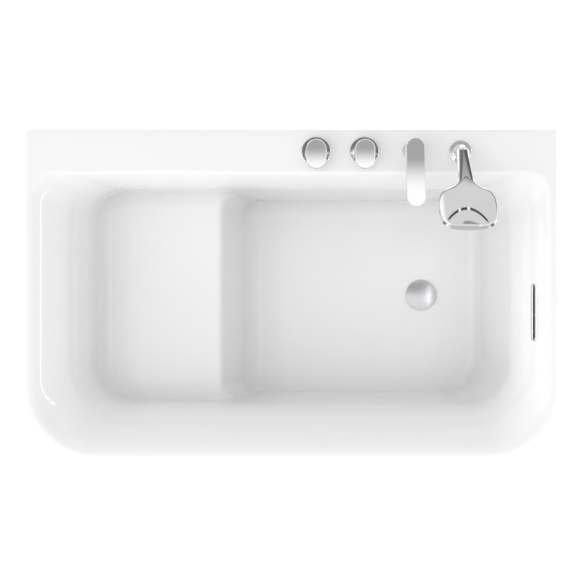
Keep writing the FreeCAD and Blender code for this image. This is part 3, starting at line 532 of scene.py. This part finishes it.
def build_drain():
    """The plug's satin dome, part of one large sphere, and the flange ring under it."""
    middle = centre("plug_cap")
    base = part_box("plug_cap")[0].z / MM
    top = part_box("plug_cap")[1].z / MM
    radius, edge, steps = 40.0, 1.5, 16
    rise = top - base - edge
    sphere = (radius ** 2 + rise ** 2) / (2 * rise)
    profile = [(0.01, 0), (radius - 0.6, 0), (radius, 0.5), (radius, edge)]
    for j in range(1, steps + 1):
        r = radius * math.cos(math.pi / 2 * j / steps)
        profile.append((max(r, 0.01), top - base - sphere + math.sqrt(sphere ** 2 - r ** 2)))
    vertices, faces = skin_rings(lathe(profile, (middle.x, middle.y, base)))
    finish_mesh("plug_dome", vertices, faces, "drain_plug", ["plug_cap"], SATIN)
    ring = rounded([(25, -32, 0), (25, 2.5, 0.8), (38.5, 2.5, 1.2), (41, 0.6, 0.6), (41, -0.3, 0),
                    (29, -0.3, 0), (29, -32, 0), (25, -32, 0)])
    vertices, faces = skin_rings(lathe(ring, (middle.x, middle.y, FLOOR_Z)), False, False)
    finish_mesh("drain_ring", vertices, faces, "tub", ["drain_flange"], CHROME)


# ------------------------------------------------------------------ apron

def build_skirt():
    """The apron, a thin wall with softened edges, and its service opening at the back."""
    low, high = (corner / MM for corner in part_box("skirt"))
    left, right, front, back = low.x, high.x, low.y, high.y
    front_radius, back_radius = FRONT_CORNER - 1, BACK_CORNER - 1
    door_from, door_to, door_top, door_rows = -300.0, 580.0, 240.0, 3
    plan = []

    def arc(x, y, radius, start, steps):
        for j in range(steps + 1):
            angle = start + math.pi / 2 * j / steps
            plan.append((x + radius * math.cos(angle), y + radius * math.sin(angle)))

    arc(right - front_radius, front + front_radius, front_radius, -math.pi / 2, 40)
    arc(right - back_radius, back - back_radius, back_radius, 0, 8)
    plan.append((door_to, back))
    door_start = len(plan) - 1
    plan.append((door_from, back))
    arc(left + back_radius, back - back_radius, back_radius, math.pi / 2, 8)
    arc(left + front_radius, front + front_radius, front_radius, math.pi, 40)
    levels = [low.z, low.z + 2, door_top - 1, door_top, high.z - 1, high.z]
    rings = [[(x, y, level) for x, y in plan] for level in levels]
    vertices, faces = skin_rings(rings, False, False)
    count = len(plan)
    kept = []
    for i, face in enumerate(faces):
        row, column = divmod(i, count)
        if column != door_start or row >= door_rows:
            kept.append(face)
    skirt = finish_mesh("apron", vertices, kept, "tub", ["skirt"], ACRYLIC, sharp=50)
    wall = skirt.modifiers.new("wall", "SOLIDIFY")
    wall.thickness = 4 * MM
    wall.offset = -1
    edge = skirt.modifiers.new("edge", "BEVEL")
    edge.width = 0.8 * MM
    edge.segments = 2
    edge.limit_method = "ANGLE"
    edge.angle_limit = math.radians(60)


# ------------------------------------------------------------------ taps

# A cap has one more ring this far inside its rounded edge, so that the rounding doesn't tilt its middle.
CAP_INSET = 0.4


def build_knob(kind):
    """A round escutcheon on the deck, and on it the turning hub with its long grip."""
    middle = centre(kind + "_base")
    base = DECK_Z
    profile = rounded([(0.01, 0, 0), (34, 0, 0.6), (34, 11, 2.4), (30.5, 11, 0.5),
                       (30.4, 9.5, 0), (0.01, 9.5, 0)])
    vertices, faces = skin_rings(lathe(profile, (middle.x, middle.y, base)))
    finish_mesh(kind + "_escutcheon", vertices, faces, "tub", [kind + "_base"], CHROME)
    hub = rounded([(0.01, 11.3, 0), (31.6, 11.3, 0.4), (31.6, 12.6, 0.6), (21, 21, 0.8), (0.01, 21, 0)])
    hub_shell = skin_rings(lathe(hub, (middle.x, middle.y, base)))
    width, length, top, corner, crown = 45.0, 67.0, 47.3, 2.2, 1.8
    grip_y = middle.y - 8.8
    rings = []

    def level(y, z):
        """The grip's top is a very slight barrel from back to front."""
        return z - crown * (y / (length / 2)) ** 2

    for z in (13.0, 30.0):
        rings.append([(middle.x + x, grip_y + y, base + z) for x, y in stadium(width, length)])
    for j in range(7):
        angle = math.pi / 2 * j / 6
        inset = corner * (1 - math.cos(angle))
        z = top - corner + corner * math.sin(angle)
        rings.append([(middle.x + x, grip_y + y, base + level(y, z))
                      for x, y in stadium(width - 2 * inset, length - 2 * inset)])
    flat = 2 * corner
    rings.append([(middle.x + x, grip_y + y, base + level(y, top))
                  for x, y in stadium(width - flat - 2 * CAP_INSET, length - flat - 2 * CAP_INSET)])
    for share in (0.8, 0.6, 0.4, 0.2, 0.05):
        rings.append([(middle.x + x * share, grip_y + y * share, base + level(y * share, top))
                      for x, y in stadium(width - flat, length - flat)])
    vertices, faces = join_shells(hub_shell, skin_rings(rings))
    finish_mesh(kind + "_grip", vertices, faces, kind + "_handle", [kind + "_knob"], CHROME)


def build_spout():
    """A ring on the deck, and the round column that carries the flat arm and its nozzle."""
    middle = centre("spout_base")
    base = DECK_Z
    profile = rounded([(9, 0, 0), (23, 0, 0.4), (23, 5, 0.8), (9, 5, 0)])
    vertices, faces = skin_rings(lathe(profile, (middle.x, middle.y, base)), False, False)
    finish_mesh("spout_ring", vertices, faces, "tub", ["spout_base"], CHROME)
    column = rounded([(9, 5.3, 0), (18, 5.3, 0.8), (17.4, 40, 30), (18, 62, 0), (0.01, 62, 0)])
    column_shell = skin_rings(lathe(column, (middle.x, middle.y, base)), False)
    width, length, lift, root, tip_thickness, corner = 42.0, 155.0, 23.0, 22.0, 14.0, 2.0
    arm_top = base + 75
    straight_share = 0.3
    back_y = middle.y + 24
    tip_y = back_y - length

    def along(y):
        return (back_y - y) / length

    def top(y):
        """The top rises to the tip in a shallow curve."""
        return arm_top + lift * along(y) ** 1.35

    def under(y):
        """The underside is level over the column and then rises to the thin tip."""
        share = max(0.0, along(y) - straight_share) / (1 - straight_share)
        return arm_top - root + (lift + root - tip_thickness) * share ** 1.2

    arc_steps = 32
    centre_y = (back_y + tip_y) / 2
    side_steps = 30
    inner = 2 * corner + 2 * CAP_INSET
    rings = [[(middle.x + x, centre_y + y, under(centre_y + y))
              for x, y in stadium(width - inner, length - inner, arc_steps, side_steps)]]
    for j in range(7):
        angle = math.pi / 2 * (1 - j / 6)
        inset = corner * (1 - math.cos(angle))
        rings.append([(middle.x + x, centre_y + y, under(centre_y + y) + corner * (1 - math.sin(angle)))
                      for x, y in stadium(width - 2 * inset, length - 2 * inset, arc_steps, side_steps)])
    for j in range(7):
        angle = math.pi / 2 * j / 6
        inset = corner * (1 - math.cos(angle))
        rings.append([(middle.x + x, centre_y + y, top(centre_y + y) - corner * (1 - math.sin(angle)))
                      for x, y in stadium(width - 2 * inset, length - 2 * inset, arc_steps, side_steps)])
    rings.append([(middle.x + x, centre_y + y, top(centre_y + y))
                  for x, y in stadium(width - inner, length - inner, arc_steps, side_steps)])
    arm_vertices, arm_faces = skin_rings(rings, False, False)
    add_strip_caps(arm_faces, rings, arc_steps)
    vertices, faces = join_shells(column_shell, (arm_vertices, arm_faces))
    finish_mesh("spout_body", vertices, faces, "spout_arm", ["spout"], CHROME)
    spot = centre("aerator")
    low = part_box("aerator")[0].z / MM
    nozzle = rounded([(0.01, 1.5, 0), (8, 1.5, 0), (8, 0, 0.4), (12, 0, 0.5), (12, 4, 0), (0.01, 4, 0)])
    vertices, faces = skin_rings(lathe(nozzle, (spot.x, spot.y, low - 1), segments=64))
    finish_mesh("spout_nozzle", vertices, faces, "spout_arm", ["aerator"], BLACK)


def add_strip_caps(faces, rings, steps):
    """Closes a round-ended bar with straight rows across it, so that its top and underside can curve."""
    count = len(rings[0])
    back, tip = steps // 2, steps // 2 + count // 2
    for ring in (0, len(rings) - 1):
        base = ring * count
        left = [base + i for i in range(back + 1, tip)]
        right = [base + (back - 1 - i) % count for i in range(tip - back - 1)]
        faces.append((base + back, left[0], right[0]))
        for j in range(len(left) - 1):
            faces.append((left[j], left[j + 1], right[j + 1], right[j]))
        faces.append((left[-1], base + tip, right[-1]))


SHOWER_LEAN, SHOWER_Z = math.radians(56), 36.0
SHOWER_AXIS = Vector((0, -math.sin(SHOWER_LEAN), math.cos(SHOWER_LEAN)))
SHOWER_UP = Vector((0, math.cos(SHOWER_LEAN), math.sin(SHOWER_LEAN)))
SHOWER_BACK = 5
COLLAR = Vector((centre("shower_holder").x, centre("mixer_base").y - SHOWER_BACK, DECK_Z + SHOWER_Z))


def on_shower(x, s, h):
    """A point across, along and above the hand shower's axis."""
    return COLLAR + Vector((x, 0, 0)) + SHOWER_AXIS * s + SHOWER_UP * h


def build_holder():
    """The deck flange with its post, and the cup that the hand shower sits in."""
    x, y = centre("shower_holder").x, centre("mixer_base").y
    profile = rounded([(8, -35, 0), (16, -35, 0), (16, -0.3, 0), (26, -0.3, 0.3), (26, 2.8, 1.2),
                       (14.6, 3.3, 4), (12.0, 9, 4), (11.6, 27.5, 1.2), (8, 27.5, 0)])
    post_shell = skin_rings(lathe(profile, (x, y, DECK_Z)), False, False)
    cup = rounded([(11.3, 0.2, 0.3), (5.4, -13, 0), (5.4, -16.5, 0.4), (8.2, -16.2, 1.5), (9.3, -10, 6),
                   (13.4, -4.6, 3), (14.6, -2.2, 1), (14.6, 0.2, 0.9), (11.3, 0.2, 0)])
    vertices, faces = join_shells(post_shell, skin_rings(lathe(cup, COLLAR, SHOWER_AXIS), False, False))
    finish_mesh("holder_body", vertices, faces, "tub", ["shower_holder"], CHROME)


def smooth_line(points, steps=8):
    """A Catmull-Rom curve through plan points, level at its first point, where the outline is mirrored."""
    points = [np.array(p, float) for p in points]
    first = points[1] * (-1, 1)
    last = 2 * points[-1] - points[-2]
    chain = [first] + points + [last]
    out = []
    for i in range(1, len(chain) - 2):
        a, b, c, d = chain[i - 1:i + 3]
        for j in range(steps):
            t = j / steps
            out.append(0.5 * (2 * b + (c - a) * t + (2 * a - 5 * b + 4 * c - d) * t ** 2
                              + (3 * b - a - 3 * c + d) * t ** 3))
    out.append(points[-1])
    return out


def whole_outline(half):
    """The closed outline of a half outline that starts and ends on the middle line."""
    return half + [p * (-1, 1) for p in half[-2:0:-1]]


# Half outlines of the head, as points across and along its axis: its outer edge and its shiny back plate.
HEAD_EDGE = [(0, 212), (28, 210.8), (46, 205), (58, 191), (63, 169), (64, 146), (61, 124), (52, 108.5),
             (36, 101.5), (25, 97), (19, 88), (16.2, 76), (0, 70)]
HEAD_PLATE = [(0, 208.2), (27.5, 207), (45, 201.5), (56.8, 188.5), (61.8, 168), (62.8, 147), (59.8, 127),
              (50, 114.5), (36, 110), (25.5, 104.5), (16, 95), (7.5, 84), (0, 76)]
HEAD_MIDDLE = np.array((0.0, 150.0))


def plate_height(x, s):
    """The back of the head: a crown that is highest at the neck and falls away to the front."""
    neck_height, neck_s = 13.8, 92
    return neck_height - 0.00056 * (s - neck_s) ** 2 - 0.0023 * x ** 2


def shrunk(outline, inset, middle):
    """An outline with each point moved towards a middle point by the same distance."""
    return [p - (p - middle) / np.linalg.norm(p - middle) * inset for p in outline]


def head_shell():
    """The flat head: its underside's edge, the side that rises to the plate, and the plate itself."""
    edge = whole_outline(smooth_line(HEAD_EDGE))
    plate = whole_outline(smooth_line(HEAD_PLATE))
    foot, fillet, roll = -4.5, 1.3, 4.2
    neck_end, neck_blend = 100, 35
    rings = []
    for inset, h in ((8.0, -8.2), (3.0, -8.2), (1.0, -7.4), (0.2, -6.0), (0.0, foot)):
        rings.append([on_shower(p[0], p[1], h) for p in shrunk(edge, inset, HEAD_MIDDLE)])
    for share in (0.04, 0.2, 0.4, 0.6, 0.8, 0.95):
        ring = []
        for p, q in zip(edge, plate):
            at = p * (1 - share) + q * share
            rim = plate_height(*q) - fillet
            rolled = rim - roll * (1 - share) ** 2
            straight = rim * share + foot * (1 - share)
            wall = min(max((p[1] - neck_end) / neck_blend, 0.0), 1.0)
            ring.append(on_shower(at[0], at[1], rolled * (1 - wall) + straight * wall))
        rings.append(ring)
    for inset, drop in ((0.0, fillet), (0.15, 0.75), (0.6, 0.25), (fillet, 0.04)):
        rings.append([on_shower(p[0], p[1], plate_height(p[0], p[1]) - drop)
                      for p in shrunk(plate, inset, HEAD_MIDDLE)])
    for share in np.linspace(0.96, 0.04, 24):
        ring = []
        for p in shrunk(plate, fillet, HEAD_MIDDLE):
            at = HEAD_MIDDLE + (p - HEAD_MIDDLE) * share
            ring.append(on_shower(at[0], at[1], plate_height(at[0], at[1])))
        rings.append(ring)
    return skin_rings(rings)


def handle_shell():
    """The handle: a flat facet that widens towards the head, two leaning flanks and a round underside."""
    widening = 84
    rings = []
    for s in np.linspace(0, 98, 40):
        share = min(s / widening, 1.0)
        width = 13.8 + 3.4 * share ** 1.2
        flank = 9.0 + 6.0 * share ** 1.2
        top = 12.9 + 0.25 * share
        crease = 0.6 + 9.0 * share ** 1.3
        shoulder = top - 0.3 * (flank - crease)
        half = rounded([(0, top, 0), (crease, top, 1.2), (flank, shoulder, 1.2),
                        (width, shoulder - 3.6, 3), (width * 0.86, -6.5, 5), (0, -10.2, 0)], 5)
        section = half + [(-x, h) for x, h in half[-2:0:-1]]
        rings.append([on_shower(x, s, h) for x, h in section])
    return skin_rings(rings)


def build_handset():
    """The hand shower: its body, the cone nut at its foot and the spray face under its head."""
    vertices, faces = join_shells(head_shell(), handle_shell())
    finish_mesh("handset_body", vertices, faces, "handset", ["hand_shower"], CHROME, sharp=60)
    cone = rounded([(2.5, -13, 0), (4.9, -13, 0.4), (9.6, -1.6, 0.4), (10.7, -1.0, 0.4),
                    (10.7, 0, 0.4), (7, 0, 0)])
    vertices, faces = skin_rings(lathe(cone, COLLAR, SHOWER_AXIS, segments=72), False, False)
    finish_mesh("hose_cone", vertices, faces, "handset", ["hose_nut"], CHROME)
    edge = whole_outline(smooth_line(HEAD_EDGE))
    rings = []
    for inset, h in ((10.0, -8.0), (10.1, -10.0), (10.9, -10.9), (12.5, -11.0)):
        rings.append([on_shower(p[0], p[1], h) for p in shrunk(edge, inset, HEAD_MIDDLE)])
    vertices, faces = skin_rings(rings)
    finish_mesh("spray_face", vertices, faces, "handset", ["spray_plate"], SPRAY)


# ------------------------------------------------------------------ stage, light and camera

def build_stage():
    """A plain white floor that glows a little, so that the tub's shadow on it stays pale."""
    mesh = bpy.data.meshes.new("studio_floor")
    reach = 6.0
    corners = [(-reach, -reach, 0), (reach, -reach, 0), (reach, reach, 0), (-reach, reach, 0)]
    mesh.from_pydata(corners, [], [(0, 1, 2, 3)])
    floor = bpy.data.objects.new("studio_floor", mesh)
    bpy.context.scene.collection.objects.link(floor)
    material, tree, shader = new_material("studio_floor", (0.97, 0.97, 0.97), 0.9)
    shader.inputs["Emission Color"].default_value = (1, 1, 1, 1)
    shader.inputs["Emission Strength"].default_value = 0.45
    mesh.materials.append(material)


# The diffuse sky: its level near the horizon and above it, and what is added overhead.
SKY_LOW, SKY_MIDDLE, SKY_TOP = 0.98, 0.52, 0.8
SKY_SLOPE = (-0.12, -0.28, 0.0)
SOFTBOX_AIM, SOFTBOX_LEVEL = (-0.62, -0.35, 0.70), 1.1


def build_world():
    """A white studio sky.

    Matt surfaces see a smooth sky with a large softbox to the front left.  Gloss and metal see a studio
    wall with a grey ceiling panel, a dark low screen, and a thin bar with two lamps and a grey spot behind.
    """
    world = bpy.data.worlds.new("studio")
    bpy.context.scene.world = world
    world.use_nodes = True
    tree = world.node_tree
    background = tree.nodes["Background"]
    background.inputs["Color"].default_value = (1, 1, 1, 1)
    place = tree.nodes.new("ShaderNodeTexCoord")
    split = tree.nodes.new("ShaderNodeSeparateXYZ")
    tree.links.new(place.outputs["Generated"], split.inputs["Vector"])
    x, y, z = split.outputs

    def combine(operation, *terms):
        node = tree.nodes.new("ShaderNodeMath")
        node.operation = operation
        for term, socket in zip(terms, node.inputs):
            if isinstance(term, (int, float)):
                socket.default_value = term
            else:
                tree.links.new(term, socket)
        return node.outputs[0]

    def step(value, start, end, low=0.0, high=1.0):
        """Goes smoothly from low to high as the value goes from start to end."""
        node = tree.nodes.new("ShaderNodeMapRange")
        node.interpolation_type = "SMOOTHSTEP"
        tree.links.new(value, node.inputs["Value"])
        for socket, number in (("From Min", start), ("From Max", end), ("To Min", low), ("To Max", high)):
            node.inputs[socket].default_value = number
        return node.outputs["Result"]

    def product(*terms):
        total = terms[0]
        for term in terms[1:]:
            total = combine("MULTIPLY", total, term)
        return total

    def shade(amount, share):
        """The factor left when a patch takes away a share of the light."""
        return combine("SUBTRACT", 1.0, combine("MULTIPLY", amount, share))

    def near(value, middle, reach, blur):
        """One within a reach of the middle, nothing further out."""
        off = combine("ABSOLUTE", combine("SUBTRACT", value, middle))
        return step(off, reach + blur / 2, reach - blur / 2)

    def along(direction):
        """How far the view direction points along another one."""
        terms = [combine("MULTIPLY", part, share) for part, share in zip((x, y, z), direction)]
        return combine("ADD", terms[0], combine("ADD", terms[1], terms[2]))

    side = combine("ABSOLUTE", x)
    panel = product(step(y, -0.09, 0.22), step(y, 0.43, 0.355), step(z, 0.6, 0.7), step(side, 0.55, 0.35))
    right_gap = product(step(x, 0.2, 0.3), step(y, 0.5, 0.6), step(z, 0.17, 0.21))
    screen = product(step(z, 0.33, 0.22), step(y, -0.85, -0.55), shade(right_gap, 1.0))
    lamps = combine("ADD", near(x, -0.021, 0.018, 0.012), near(x, 0.135, 0.022, 0.012))
    leaning = combine("ADD", z, combine("MULTIPLY", x, 0.1))
    stripe = product(near(leaning, 0.475, 0.0075, 0.005), step(y, 0.3, 0.4), near(x, 0.11, 0.335, 0.06))
    bar = combine("MULTIPLY", stripe, combine("SUBTRACT", 1.0, lamps))
    spot = product(near(leaning, 0.555, 0.012, 0.012), step(y, 0.4, 0.5), near(x, 0.17, 0.15, 0.08))
    wall = combine("MAXIMUM", step(y, 0.45, 0.75, 1.12, 0.72), step(x, -0.12, -0.32, 0.0, 1.1))
    wall = combine("MULTIPLY", wall, step(y, -0.3, -0.7, 1.0, 0.5))
    mirrored = product(wall, shade(panel, 0.62), shade(screen, 0.82), shade(bar, 0.96), shade(spot, 0.6))
    mirrored = combine("ADD", mirrored, product(stripe, lamps, 0.4))
    falling = combine("ADD", step(z, 0.35, 0.6, SKY_LOW, SKY_MIDDLE),
                      combine("MULTIPLY", combine("POWER", combine("MAXIMUM", z, 0.0), 8.0), SKY_TOP))
    glow = combine("MAXIMUM", along(SOFTBOX_AIM), 0.0)
    softbox = combine("MULTIPLY", combine("POWER", glow, 6.0), SOFTBOX_LEVEL)
    falling = combine("ADD", combine("MULTIPLY", falling, combine("ADD", 1.0, along(SKY_SLOPE))), softbox)
    path = tree.nodes.new("ShaderNodeLightPath")
    glossy = path.outputs["Is Glossy Ray"]
    seen = path.outputs["Is Camera Ray"]
    bounced = combine("ADD", combine("MULTIPLY", mirrored, glossy),
                      combine("MULTIPLY", falling, combine("SUBTRACT", 1.0, glossy)))
    total = combine("MAXIMUM", combine("MULTIPLY", bounced, combine("SUBTRACT", 1.0, seen)), seen)
    tree.links.new(total, background.inputs["Strength"])


def add_area(name, place, target, width, length, power):
    data = bpy.data.lights.new(name, "AREA")
    data.shape = "RECTANGLE"
    data.size = width
    data.size_y = length
    data.energy = power
    light = bpy.data.objects.new(name, data)
    light.location = place
    light.rotation_euler = (Vector(target) - Vector(place)).to_track_quat("-Z", "Y").to_euler()
    bpy.context.scene.collection.objects.link(light)


def build_camera():
    height = 2.8
    data = bpy.data.cameras.new("camera")
    data.sensor_width = 36
    data.lens = 77.03
    camera = bpy.data.objects.new("camera", data)
    camera.location = (-0.0026, 0.0077, RIM_Z * MM + height)
    camera.rotation_euler = (0, 0, 0)
    bpy.context.scene.collection.objects.link(camera)
    bpy.context.scene.camera = camera


basin = build_basin()
drain_spot = centre("plug_cap")
drain_bore = lathe([(29, -40), (29, 20)], (drain_spot.x, drain_spot.y, FLOOR_Z), segments=64)
cut_hole(basin, "drain_hole", *skin_rings(drain_bore))
cut_hole(basin, "overflow_hole", *skin_rings([slanted(stadium(9, 122), -20), slanted(stadium(9, 122), 10)]))
build_skirt()
build_overflow()
build_drain()
for kind in ("mixer", "diverter"):
    build_knob(kind)
build_spout()
build_holder()
build_handset()
build_stage()
build_world()
add_area("strip_right", (1.4, 0.0, 3.1), (-0.5, 0, 0.4), 1.6, 0.04, 2.5)
add_area("strip_left", (-1.7, 0.0, 2.9), (0.4, 0, 0.1), 1.6, 0.04, 2.5)
build_camera()
bpy.context.scene.view_settings.view_transform = "Standard"
